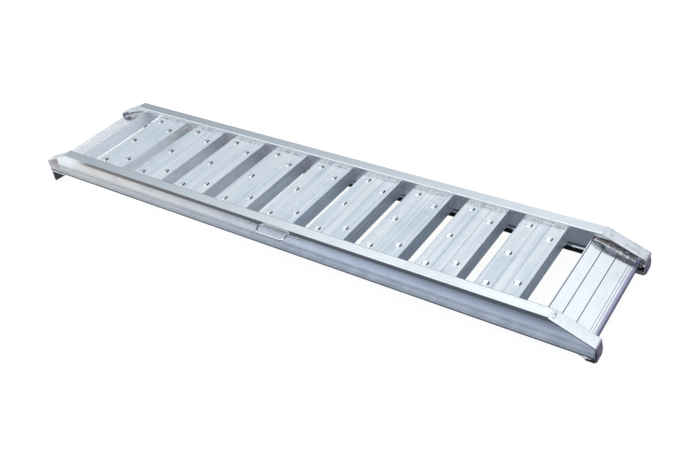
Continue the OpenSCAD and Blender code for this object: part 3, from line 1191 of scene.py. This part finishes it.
@dataclass
class Studio:
    """The camera, the floor and the lamp. The camera's axes and the lens were fitted to
    the photograph, and the floor leans so that hooks and pads both touch it."""

    eye: Vector = field(default_factory=lambda: Vector((1.57191, -1.805468, 1.743247)))
    right: Vector = field(default_factory=lambda: Vector((0.830843, 0.547434, -0.100078)))
    down: Vector = field(default_factory=lambda: Vector((0.267089, -0.550021, -0.791291)))
    ahead: Vector = field(default_factory=lambda: Vector((-0.488224, 0.630709, -0.603194)))
    lens_mm: float = 42.959
    sensor_mm: float = 36.0
    hook_x: float = -1113.548
    pad_x: float = 1111.548
    pad_z: float = 36.0
    floor_side: float = 60.0
    lamp_place: Vector = field(default_factory=lambda: Vector((-1.2, 2.2, 3.6)))
    lamp_aim: Vector = field(default_factory=lambda: Vector((0.0, 0.0, 0.1)))
    lamp_side: float = 3.0
    lamp_watts: float = 110.0

    def place_camera(self) -> None:
        """Sets the camera where the photograph was taken from."""
        data = bpy.data.cameras.new("photo_camera")
        data.sensor_width = self.sensor_mm
        data.lens = self.lens_mm
        data.clip_end = 100.0
        camera = bpy.data.objects.new("photo_camera", data)
        bpy.context.scene.collection.objects.link(camera)
        axes = Matrix((self.right, -self.down, -self.ahead)).transposed()
        camera.matrix_world = Matrix.Translation(self.eye) @ axes.to_4x4()
        bpy.context.scene.camera = camera

    def lay_floor(self) -> None:
        """Lays the pale floor against the hooks' lips and the ground pads."""
        lean = math.atan2(self.pad_z, self.pad_x - self.hook_x)
        bpy.ops.object.select_all(action="DESELECT")
        bpy.ops.mesh.primitive_plane_add(
            size=self.floor_side, location=(self.hook_x * MM, 0, 0), rotation=(0, -lean, 0)
        )
        floor = bpy.context.view_layer.objects.active
        floor.name = "floor"
        floor.data.materials.append(PaleFloor().build())

    def hang_lamp(self) -> None:
        """Hangs a square soft lamp behind the ramp, which the metal doesn't mirror."""
        data = bpy.data.lights.new("overhead_lamp", "AREA")
        data.shape = "SQUARE"
        data.size = self.lamp_side
        data.energy = self.lamp_watts
        lamp = bpy.data.objects.new("overhead_lamp", data)
        lamp.location = self.lamp_place
        lamp.visible_glossy = False
        lamp.rotation_mode = "QUATERNION"
        lamp.rotation_quaternion = (self.lamp_aim - self.lamp_place).to_track_quat("-Z", "Y")
        bpy.context.scene.collection.objects.link(lamp)

    def build(self) -> None:
        """Sets up camera, floor and light."""
        self.place_camera()
        self.lay_floor()
        Sky().build()
        self.hang_lamp()
        bpy.context.scene.view_settings.view_transform = "Standard"


@dataclass
class Rails:
    """The two side rails, with painted shade on their inner ledges and on their bottom flanges'
    outer edges, and dull outer ledges painted lighter toward the tray end; the flange strips over
    their noses, and the gussets."""

    finishes: Finishes
    top_z: float = 98.0
    inner_y: float = 184.0
    outer_y: float = 225.0
    web_y: float = 202.0
    web_outer: float = 5.05
    ledge_z: float = 6.0
    ledge_fillet: float = 1.5
    fillet_z: float = 15.5
    inner_edge: float = 4.5
    rail_edge: float = 0.8
    cap_edge: float = 1.2
    gusset_edge: float = 0.5
    pick: float = 0.3

    def round_inner_edge(self, piece: bpy.types.Object) -> None:
        """Rounds the top flange's inner edge, which the press left softer than the rest.

        Args:
            piece: the rail's copy.
        """
        select_points(
            piece,
            lambda p: (
                abs(abs(p.y) - self.inner_y) < self.pick and abs(p.z - self.top_z) < self.pick
            ),
        )
        bpy.ops.mesh.bevel(offset=self.inner_edge * MM, segments=4, affect="EDGES")
        bpy.ops.object.mode_set(mode="OBJECT")

    def on_ledge(self, centre: Vector, normal: Vector) -> bool:
        """Tells whether a face is on the bottom flange's inner ledge.

        Args:
            centre: the face's centre in millimetres of the deck frame.
            normal: the face's normal.

        Returns:
            True on the ledge's top and inner edge.
        """
        low = -0.1 < centre.z < self.ledge_z + self.ledge_fillet
        return low and abs(centre.y) < self.web_y - self.pick and normal.z > -0.5

    def on_outer_ledge(self, centre: Vector, normal: Vector) -> bool:
        """Tells whether a face is on the bottom flange's outer ledge.

        Args:
            centre: the face's centre in millimetres of the deck frame.
            normal: the face's normal.

        Returns:
            True on the ledge's top, its upright edge and the fillet above it.
        """
        outside = abs(centre.y) > self.web_y + self.web_outer
        return centre.z < self.fillet_z and outside and normal.z > -0.5

    def on_bottom_edge(self, centre: Vector, normal: Vector) -> bool:
        """Tells whether a face is the bottom flange's outer upright edge.

        Args:
            centre: the face's centre in millimetres of the deck frame.
            normal: the face's normal.

        Returns:
            True on that edge.
        """
        at_edge = abs(centre.y) > self.outer_y - 0.4
        return centre.z < self.ledge_z and at_edge and abs(normal.y) > 0.8

    def dress_cap(self, side: Side, end: End) -> None:
        """Dresses the strip over one nose. The near ground nose is satin with a sooty end face,
        the others are brushed, and painted shade darkens the outer edge of both ground noses.

        Args:
            side: the nose's rail.
            end: the nose's end.
        """
        part = f"{side.name.lower()}_{end.name.lower()}_nose"
        sooty = (side, end) == (Side.NEAR, End.GROUND)
        metal = self.finishes.dressed if sooty else self.finishes.brushed
        cap = softened_copy(f"{part}_cap", part, metal, self.cap_edge)
        if sooty:
            face_finish(cap, self.finishes.sooty_weld, lambda centre, normal: normal.x > 0.95)
        # Painted shade on the outer edge of a ground nose's strip.
        if end is End.GROUND:
            face_finish(
                cap, self.finishes.groove_dirt,
                lambda centre, normal: normal.y * side.value > 0.8,
            )

    def build(self) -> None:
        """Dresses the rails, gussets and nose strips."""
        for side in Side:
            word = side.name.lower()
            rail = softened_copy(
                f"{word}_side_rail", f"{word}_rail", self.finishes.rail,
                self.rail_edge, self.round_inner_edge,
            )
            # Painted shade on the inner ledge, where the rail's shadow falls.
            face_finish(rail, self.finishes.ledge_grime, self.on_ledge)
            # Dull outer ledge, painted lighter toward the tray end.
            face_finish(rail, self.finishes.oxidised, self.on_outer_ledge)
            # Painted shade on the bottom flange's outer edge.
            face_finish(rail, self.finishes.edge_dirt, self.on_bottom_edge)
            softened_copy(
                f"{word}_nose_gusset", f"{word}_gusset", self.finishes.disc_ground,
                self.gusset_edge,
            )
            for end in End:
                self.dress_cap(side, end)


@dataclass
class Treads:
    """The nine rungs and the two end planks. In the photograph a rung's tray edge stands
    14 mm further in and its sides are 12 mm shallower than the solid's, so its copy is
    drawn in by that much."""

    finishes: Finishes
    count: int = 9
    pitch: float = 200.0
    width: float = 157.0
    top_z: float = 80.5
    lip_h: float = 1.5
    lip_sunk: float = 0.25
    lip_middle: float = 6.0
    tray_lip: float = 11.0
    lip_left: float = 0.8
    toe: float = 12.0
    wall_h: float = 60.0
    drawn_in: float = 14.0
    shallower: float = 12.0
    lean_out: float = 4.0
    tread_edge: float = 0.5
    dimple_rows: tuple[float, float] = (45.0, 127.0)
    dimple_r: float = 12.6
    plank_slope: float = 18.0
    plank_edge: tuple[float, float] = (958.5, 73.0)
    plank_wall: float = 3.5
    plank_ease: float = 0.35
    plank_lift: float = 1.5
    plank_fillet: float = 2.4
    twin_from: float = 129.0
    twin_middle: float = 135.0
    twin_to: float = 141.0
    twin_shift: float = 1.5
    groove_foot: float = -6.0
    groove_lean: tuple[float, float] = (35.0, 65.0)
    nosing_from: float = 148.0
    nosing_shift: float = 3.5
    nosing_seen: float = 145.5
    pick: float = 0.4

    def tray_edge(self, number: int) -> float:
        """Gives where a rung's tray edge is, in millimetres of the deck frame."""
        return (number - (self.count + 1) / 2) * self.pitch - self.width / 2

    def draw_in(self, piece: bpy.types.Object, number: int) -> None:
        """Draws a rung's tray edge in, lowers its lip to the plate and raises its toes.

        Args:
            piece: the rung's copy.
            number: which rung it is, from the tray end.
        """
        edge = self.tray_edge(number)
        lip_foot = edge + self.tray_lip
        middle_z = self.top_z - self.wall_h / 2
        steps = (
            (lambda p: p.z < middle_z, (0.0, 0.0, self.shallower)),
            (lambda p: p.z < middle_z and p.x > edge + self.width / 2,
             (self.lean_out, 0.0, 0.0)),
            (lambda p: p.x < lip_foot + self.pick and p.z > self.top_z + 0.5,
             (0.0, 0.0, -self.lip_h - self.lip_sunk)),
            (lambda p: abs(p.x - lip_foot) < self.pick and p.z > middle_z,
             (self.drawn_in + self.lip_left - self.tray_lip, 0.0, 0.0)),
            (lambda p: p.x < edge + self.toe + self.pick
             and (p.z < middle_z or p.x < edge + self.lip_middle),
             (self.drawn_in, 0.0, 0.0)),
        )
        for test, offset in steps:
            shift_points(piece, test, offset)

    def on_dimple(self, centre: Vector, number: int) -> bool:
        """Tells whether a face is on one of a rung's dimples.

        Args:
            centre: the face's centre in millimetres of the deck frame.
            number: which rung it is, from the tray end.

        Returns:
            True on a dimple's side or top.
        """
        inward = centre.x - self.tray_edge(number)
        raised = centre.z > self.top_z + 0.05
        return raised and any(abs(inward - row) < self.dimple_r for row in self.dimple_rows)

    def on_shaded_side(self, centre: Vector, normal: Vector, number: int) -> bool:
        """Tells whether a face is on a dimple's side toward the ground end.

        Args:
            centre: the face's centre in millimetres of the deck frame.
            normal: the face's normal.
            number: which rung it is, from the tray end.

        Returns:
            True where shade is painted on a dimple's side.
        """
        return self.on_dimple(centre, number) and normal.x > 0.36 and abs(normal.y) < 0.45

    def down_plank(self, point: Vector, end: End) -> tuple[float, float]:
        """Measures a point from a plank's upper edge.

        Args:
            point: the point in millimetres of the deck frame.
            end: which end's plank it is.

        Returns:
            How far down the plank's slope it is, and how high above the plate's top.
        """
        slope = math.radians(self.plank_slope)
        out, up = point.x * end.value - self.plank_edge[0], point.z - self.plank_edge[1]
        return (
            out * math.cos(slope) - up * math.sin(slope),
            out * math.sin(slope) + up * math.cos(slope),
        )

    def at_lip_foot(self, point: Vector, end: End) -> bool:
        """Tells whether a point is at the foot of a plank's lip.

        Args:
            point: the point in millimetres of the deck frame.
            end: which end's plank it is.

        Returns:
            True within 0.3 mm of it.
        """
        return (Vector(self.down_plank(point, end)) - Vector((self.plank_wall, 0.0))).length < 0.3

    def mark_plank(self, piece: bpy.types.Object, end: End) -> None:
        """Raises the lip on a plank's upper edge with a fillet at its foot, sets the twin
        grooves 3 mm further apart and starts the nosing 3.5 mm earlier, as in the
        photograph.

        Args:
            piece: the plank's copy.
            end: which end's plank it is.
        """
        slope = math.radians(self.plank_slope)
        down = Vector((end.value * math.cos(slope), 0.0, -math.sin(slope)))
        out = Vector((end.value * math.sin(slope), 0.0, math.cos(slope)))
        steps = (
            (lambda u, v: v > 0.5, out * self.plank_lift),
            (lambda u, v: v > self.groove_foot and self.twin_from < u < self.twin_middle,
             down * -self.twin_shift),
            (lambda u, v: v > self.groove_foot and self.twin_middle < u < self.twin_to,
             down * self.twin_shift),
            (lambda u, v: v > -1.0 and abs(u - self.nosing_from) < 1.0,
             down * -self.nosing_shift),
        )
        for test, offset in steps:
            shift_points(piece, lambda p, test=test: test(*self.down_plank(p, end)), offset)
        select_points(piece, lambda p: self.at_lip_foot(p, end))
        bpy.ops.mesh.bevel(offset=self.plank_fillet * MM, segments=1, affect="EDGES")
        bpy.ops.object.mode_set(mode="OBJECT")

    def in_groove(self, normal: Vector, end: End) -> bool:
        """Tells whether a face is a side of a plank's groove, where shade is painted.

        Args:
            normal: the face's normal.
            end: which end's plank it is.

        Returns:
            True where the face leans from the plank's plate as a groove's side does.
        """
        slope = math.radians(self.plank_slope)
        plate = Vector((end.value * math.sin(slope), 0.0, math.cos(slope)))
        low, high = self.groove_lean
        leans = low < math.degrees(plate.angle(normal)) < high
        return leans and abs(normal.y) < 0.1 and normal.x * end.value < 0.97

    def dress_rung(self, number: int) -> None:
        """Dresses one rung, its dimples and the painted shade on their sides toward the ground
        end.

        Args:
            number: which rung it is, from the tray end.
        """
        tread = softened_copy(
            f"rung_{number}", f"tread_{number}", self.finishes.tread,
            self.tread_edge, lambda piece: self.draw_in(piece, number),
        )
        face_finish(
            tread, self.finishes.burnished, lambda centre, normal: self.on_dimple(centre, number)
        )
        # Painted shade on the dimples' sides toward the ground end.
        face_finish(
            tread, self.finishes.groove_dirt,
            lambda centre, normal: self.on_shaded_side(centre, normal, number),
        )

    def dress_plank(self, end: End) -> None:
        """Dresses one plank, with painted shade in its grooves and on its nosing, and painted
        light on the tray plank's wall toward the first rung.

        Args:
            end: which end's plank it is.
        """
        word = end.name.lower()
        plank = softened_copy(
            f"{word}_end_plank", f"{word}_plank", self.finishes.planks[end],
            self.plank_ease, lambda piece: self.mark_plank(piece, end),
        )
        # Painted shade in the plank's grooves.
        face_finish(
            plank, self.finishes.groove_dirt,
            lambda centre, normal: self.in_groove(normal, end),
        )
        # Painted light on the tray plank's wall toward the first rung.
        if end is End.TRAY:
            face_finish(plank, self.finishes.wall_light, lambda centre, normal: normal.x > 0.9)
        # Painted shade on the nosing.
        face_finish(
            plank, self.finishes.nosing_shade,
            lambda centre, normal: self.down_plank(centre, end)[0] > self.nosing_seen,
        )

    def build(self) -> None:
        """Dresses the rungs and planks."""
        for number in range(1, self.count + 1):
            self.dress_rung(number)
        for end in End:
            self.dress_plank(end)


@dataclass
class Bead:
    """A weld bead laid along a line, a ripple at a time."""

    name: str
    start: tuple[float, float, float]
    end: tuple[float, float, float]
    radius: float
    ripple: float = 3.4
    lumps: float = 0.25
    seed: float = 0.0
    tip: float = 0.45
    swell: float = 0.3
    crest: float = 0.1
    hollow: float = -0.08
    sway: float = 0.075
    around: int = 8

    def start_end(self, step: float) -> bpy.types.Object:
        """Makes the bead's first ring, with its upper face selected.

        Args:
            step: the ring's height in metres.

        Returns:
            The ring, which is active and in edit mode.
        """
        bpy.ops.object.select_all(action="DESELECT")
        bpy.ops.mesh.primitive_cylinder_add(
            vertices=self.around, radius=self.radius * self.tip * MM, depth=step,
            location=(0, 0, step / 2),
        )
        bead = bpy.context.view_layer.objects.active
        bead.name = self.name
        bpy.ops.object.transform_apply(location=True, rotation=True, scale=True)
        bpy.ops.object.mode_set(mode="EDIT")
        bpy.ops.mesh.select_mode(type="FACE")
        bpy.ops.mesh.select_all(action="DESELECT")
        bpy.ops.object.mode_set(mode="OBJECT")
        for face in bead.data.polygons:
            face.select = face.normal.z > 0.9
        bpy.ops.object.mode_set(mode="EDIT")
        return bead

    def lay(self, material: bpy.types.Material) -> bpy.types.Object:
        """Lays the bead.

        Args:
            material: the weld metal.

        Returns:
            The bead, with its place in its mesh.
        """
        first, last = deck(*self.start), deck(*self.end)
        run = last - first
        rings = max(6, round(run.length / (self.ripple * MM / 2)))
        step = run.length / rings
        bead = self.start_end(step)
        size = self.tip
        for ring in range(1, rings):
            from_end = min(ring, rings - 1 - ring)
            taper = min(1.0, self.tip + self.swell * from_end)
            lump = noise.noise(Vector((ring * 0.37, self.seed, 1.7))) * self.lumps * 2
            wanted = taper * (1.0 + lump + (self.crest if ring % 2 else self.hollow))
            drift = noise.noise(Vector((self.seed, ring * 0.21, 4.2))) * self.radius * self.sway
            bpy.ops.mesh.extrude_region_move(
                TRANSFORM_OT_translate={"value": (drift * MM, 0.0, step)}
            )
            bpy.ops.transform.resize(
                value=(wanted / size,) * 3, center_override=(0.0, 0.0, step * (ring + 1))
            )
            size = wanted
        bpy.ops.object.mode_set(mode="OBJECT")
        bead.rotation_mode = "QUATERNION"
        bead.rotation_quaternion = run.to_track_quat("Z", "Y")
        bead.location = first
        bpy.ops.object.transform_apply(location=True, rotation=True, scale=False)
        bpy.ops.object.shade_smooth_by_angle(angle=math.radians(50))
        bead.data.materials.append(material)
        return bead


@dataclass
class Welds:
    """The beads that hold rungs and planks to the rails, the strips to the noses and the
    pads to the ground noses."""

    finishes: Finishes
    rungs: int = 9
    pitch: float = 200.0
    rung_x: tuple[float, float] = (-64.0, 78.0)
    rung_y: float = 182.4
    rung_z: float = 81.2
    rung_r: float = 2.6
    plank_high: tuple[float, float] = (960.0, 72.0)
    plank_low: tuple[float, float] = (1096.0, 29.5)
    plank_y: float = 185.5
    plank_r: float = 3.4
    fillet_y: float = 194.5
    fillet_r: float = 6.0
    lump_x: float = 1109.0
    lump_y: tuple[float, float] = (187.0, 200.0)
    lump_z: tuple[float, float] = (7.5, 19.0)
    lump_r: float = 5.6
    pad_x: tuple[float, float] = (1080.0, 1114.0)
    pad_y: tuple[float, float] = (-224.8, 222.0)
    pad_z: tuple[float, float] = (-1.8, -3.4)
    pad_r: float = 2.9
    bend_x: float = 988.0
    bend_slope: float = 0.3
    bend_y: tuple[float, float] = (185.0, 224.0)
    bend_r: float = 3.6
    top_z: float = 98.0

    def own(self, bead: bpy.types.Object) -> None:
        """Makes a bead part of the welded frame."""
        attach(bead, ROOT)

    def copy(self, bead: bpy.types.Object, name: str, along: float, turned: bool) -> None:
        """Copies a bead to another place.

        Args:
            bead: the bead that is copied.
            name: the copy's name.
            along: how far it moves along the ramp, in millimetres.
            turned: whether it is first turned half round about the deck's upright axis.
        """
        select_only(bead)
        bpy.ops.object.duplicate()
        twin = bpy.context.view_layer.objects.active
        twin.name = name
        if turned:
            twin.matrix_world = (
                Matrix.Translation(DECK) @ Matrix.Rotation(math.pi, 4, "Z")
                @ Matrix.Translation(-DECK)
            )
            bpy.ops.object.transform_apply(location=True, rotation=True, scale=True)
        twin.location = Vector((along * MM, 0.0, 0.0))
        bpy.ops.object.transform_apply(location=True, rotation=False, scale=False)
        self.own(twin)

    def lay_rung_beads(self) -> None:
        """Lays one bead at a rung's far end, and copies it to every rung's two ends."""
        first = -(self.rungs - 1) / 2 * self.pitch
        start, end = ((first + x, self.rung_y, self.rung_z) for x in self.rung_x)
        far = Bead("far_rung_weld_1", start, end, self.rung_r, lumps=0.35, seed=3.0).lay(
            self.finishes.weld
        )
        self.own(far)
        for number in range(2, self.rungs + 1):
            self.copy(far, f"far_rung_weld_{number}", (number - 1) * self.pitch, False)
        for number in range(1, self.rungs + 1):
            self.copy(far, f"near_rung_weld_{number}", (number - self.rungs) * self.pitch, True)

    def lay_plank_bead(
        self, name: str, side: Side, end: End, y: float, radius: float, seed: float
    ) -> None:
        """Lays a bead down the end of a plank.

        Args:
            name: the bead's name, whose last word is weld or fillet.
            side: which end of the plank it is on.
            end: which end of the ramp the plank is at.
            y: how far it is from the centreline.
            radius: its radius.
            seed: what its lumps are drawn from.
        """
        start, stop = (
            (end.value * x, side.value * y, z) for x, z in (self.plank_high, self.plank_low)
        )
        frosted = name.endswith("weld")
        # A fillet's dark brown is heat tint and painted shade of the web under the strip.
        metal = self.finishes.frosted_weld if frosted else self.finishes.scorch_and_shade
        self.own(Bead(name, start, stop, radius, ripple=7.0, lumps=0.55, seed=seed).lay(metal))

    def lay_ground_beads(self, side: Side, pad_y: float) -> None:
        """Lays the lumps that fill a ground nose's tip and the bead along its pad.

        Args:
            side: the nose's rail.
            pad_y: where the bead along the pad is.
        """
        name = f"{side.name.lower()}_ground"
        low, high = sorted(side.value * y for y in self.lump_y)
        for number, z in enumerate(self.lump_z):
            self.own(Bead(
                f"{name}_tip_lump_{number + 1}", (self.lump_x, low, z), (self.lump_x, high, z),
                self.lump_r, ripple=5.0, lumps=0.5, seed=31.0 + z,
            ).lay(self.finishes.scorch_and_shade))
        start, end = ((x, pad_y, z) for x, z in zip(self.pad_x, self.pad_z))
        self.own(Bead(
            f"{name}_pad_weld", start, end, self.pad_r, ripple=8.0, lumps=0.6, seed=5.0
        ).lay(self.finishes.frosted_weld))

    def lay_end_beads(self) -> None:
        """Lays the bright beads along the ends of the planks, and at the ground end the fillets
        behind them, whose dark brown is heat tint and painted shade of the web under the strip,
        the tips' lumps and the pads' beads."""
        for row, end in enumerate(End):
            for side, pad_y in zip(Side, self.pad_y):
                name = f"{side.name.lower()}_{end.name.lower()}_plank"
                seed = 11.0 + row + side.value * 2.5
                self.lay_plank_bead(
                    f"{name}_weld", side, end, self.plank_y, self.plank_r, seed
                )
                if end is End.GROUND:
                    self.lay_plank_bead(
                        f"{name}_fillet", side, end, self.fillet_y, self.fillet_r, seed
                    )
                    self.lay_ground_beads(side, pad_y)

    def lay_bend_bead(self, side: Side, end: End, number: int, step: float) -> None:
        """Lays a bead across the flange where a nose's strip meets the rail, pressed down
        until it is no higher than the flange.

        Args:
            side: the nose's rail.
            end: the nose's end.
            number: which bead it is, from the rail outward.
            step: how far it is from the bend.
        """
        x, z = end.value * (self.bend_x + step), self.top_z - self.bend_slope * step
        low, high = sorted(side.value * y for y in self.bend_y)
        bead = Bead(
            f"{side.name.lower()}_{end.name.lower()}_bend_weld_{number}",
            (x, low, z), (x, high, z), self.bend_r, ripple=7.0, lumps=0.55,
            seed=21.0 + end.value + side.value * 3.1 + (number - 1) * 7.0,
        ).lay(self.finishes.weld)
        highest = max(point.co.z for point in bead.data.vertices)
        bead.location.z = min(0.0, self.top_z * MM + DECK.z - highest)
        bpy.ops.object.transform_apply(location=True, rotation=False, scale=False)
        self.own(bead)

    def build(self) -> None:
        """Lays all the beads, two of them at the near ground nose's bend."""
        self.lay_rung_beads()
        self.lay_end_beads()
        for end in End:
            for side in Side:
                steps = (2.0, 10.0) if (side, end) == (Side.NEAR, End.GROUND) else (2.0,)
                for number, step in enumerate(steps, 1):
                    self.lay_bend_bead(side, end, number, step)


@dataclass
class Feet:
    """The tray hooks with their rubber wedges, and the ground pads, whose upper sides the
    welding has scorched."""

    finishes: Finishes
    hook_edge: float = 1.0
    rubber_edge: float = 1.5
    scorched_z: float = -14.0
    soot_z: float = -4.0

    def build(self) -> None:
        """Dresses hooks, wedges and pads."""
        rubber = self.finishes.rubber
        for side in Side:
            word = side.name.lower()
            softened_copy(
                f"{word}_tray_hook", f"{word}_hook", self.finishes.dressed,
                self.hook_edge,
            )
            softened_copy(
                f"{word}_hook_wedge", f"{word}_wedge", rubber, self.rubber_edge
            )
            pad = softened_copy(
                f"{word}_ground_pad", f"{word}_pad", rubber, self.rubber_edge
            )
            face_finish(
                pad, self.finishes.scorch_and_shade,
                lambda centre, normal, side=side: (
                    side.value * normal.y < -0.5 and centre.z > self.scorched_z
                ),
            )
            face_finish(
                pad, self.finishes.sooty_weld,
                lambda centre, normal: normal.x > 0.3 and centre.z > self.soot_z,
            )


@dataclass
class Handle:
    """The swinging carry handle with its saddles and rivets."""

    finishes: Finishes
    rod_edge: float = 0.3
    rivet_edge: float = 0.4

    def build(self) -> None:
        """Dresses the handle, saddles and rivets."""
        names = {"carry_handle": "handle"}
        names |= {f"{end.name.lower()}_side_saddle": f"{end.name.lower()}_saddle" for end in End}
        for node, name in names.items():
            softened_copy(node, name, self.finishes.steel, self.rod_edge)
        softened_copy(
            "saddle_rivets", "rivets", self.finishes.steel, self.rivet_edge
        )


def main() -> None:
    """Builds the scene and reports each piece."""
    logging.basicConfig(level=logging.INFO, format="%(name)s: %(message)s")
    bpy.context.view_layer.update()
    Studio().build()
    finishes = mix_finishes()
    for group in (Rails, Treads, Welds, Feet, Handle):
        known = {thing.name for thing in bpy.data.objects}
        group(finishes).build()
        for piece in bpy.data.objects:
            if piece.name not in known:
                faces = len(piece.data.polygons)
                LOG.info("%s: %s, %d faces", group.__name__, piece.name, faces)


if __name__ == "__main__":
    main()
